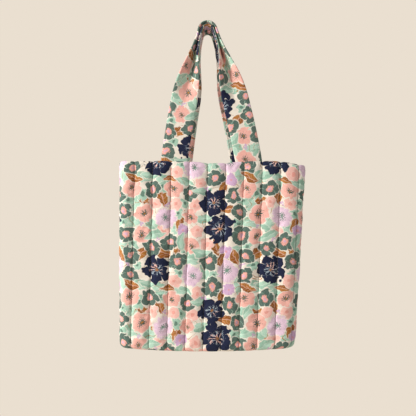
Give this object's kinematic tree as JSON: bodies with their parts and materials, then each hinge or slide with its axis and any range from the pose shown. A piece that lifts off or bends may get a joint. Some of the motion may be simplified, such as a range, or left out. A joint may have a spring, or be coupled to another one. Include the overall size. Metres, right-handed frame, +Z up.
{
  "type": "quilted knitting bag",
  "caption": "Flat open-topped quilted cotton tote hanging by two padded strap handles, printed all over with small flowers.",
  "frame": {"origin": "hang point: the axis of the peg both handles hang on, midway between the two handle crowns", "axes": "+Z up, +X to the right seen from the front, +Y towards the wall; the bag hangs below the origin and its front faces -Y"},
  "size_m": [0.4048, 0.07, 0.7099],
  "materials": {
    "printed_cotton": "matt printed plain weave",
    "handle_cotton": "matt printed plain weave",
    "lining": "matt plain weave",
    "facing": "matt plain weave",
    "binding": "matt bias tape",
    "batting": "matt wadding",
    "sewing_thread": "matt cotton thread"
  },
  "bodies": {
    "bag": {"front_panel": "printed_cotton", "back_panel": "printed_cotton", "base_panel": "printed_cotton", "front_batting": "batting", "back_batting": "batting", "base_batting": "batting", "front_lining": "lining", "back_lining": "lining", "base_lining": "lining", "front_rim_facing": "facing", "back_rim_facing": "facing", "left_seam_binding": "binding", "right_seam_binding": "binding", "base_seam_binding": "binding", "front_quilting_threads": "sewing_thread", "back_quilting_threads": "sewing_thread", "front_rim_stitching": "sewing_thread", "back_rim_stitching": "sewing_thread", "front_left_tab": "handle_cotton", "front_right_tab": "handle_cotton", "back_left_tab": "handle_cotton", "back_right_tab": "handle_cotton", "front_left_tab_stitches": "sewing_thread", "front_right_tab_stitches": "sewing_thread", "back_left_tab_stitches": "sewing_thread", "back_right_tab_stitches": "sewing_thread", "front_left_root": "handle_cotton", "front_right_root": "handle_cotton", "back_left_root": "handle_cotton", "back_right_root": "handle_cotton"},
    "front_handle": {"front_handle_cover": "handle_cotton", "front_handle_batting": "batting", "front_handle_topstitch": "sewing_thread"},
    "back_handle": {"back_handle_cover": "handle_cotton", "back_handle_batting": "batting", "back_handle_topstitch": "sewing_thread"}
  },
  "joints": [
    {"name": "front_handle_swing", "type": "hinge", "parent": "bag", "child": "front_handle", "pos_m": [0, -0.017, -0.27], "axis": [1, 0, 0], "range_deg": [0, 150], "deforming": ["front_left_root", "front_right_root"]},
    {"name": "back_handle_swing", "type": "hinge", "parent": "bag", "child": "back_handle", "pos_m": [0, 0.017, -0.27], "axis": [-1, 0, 0], "range_deg": [0, 150], "deforming": ["back_left_root", "back_right_root"]}
  ]
}
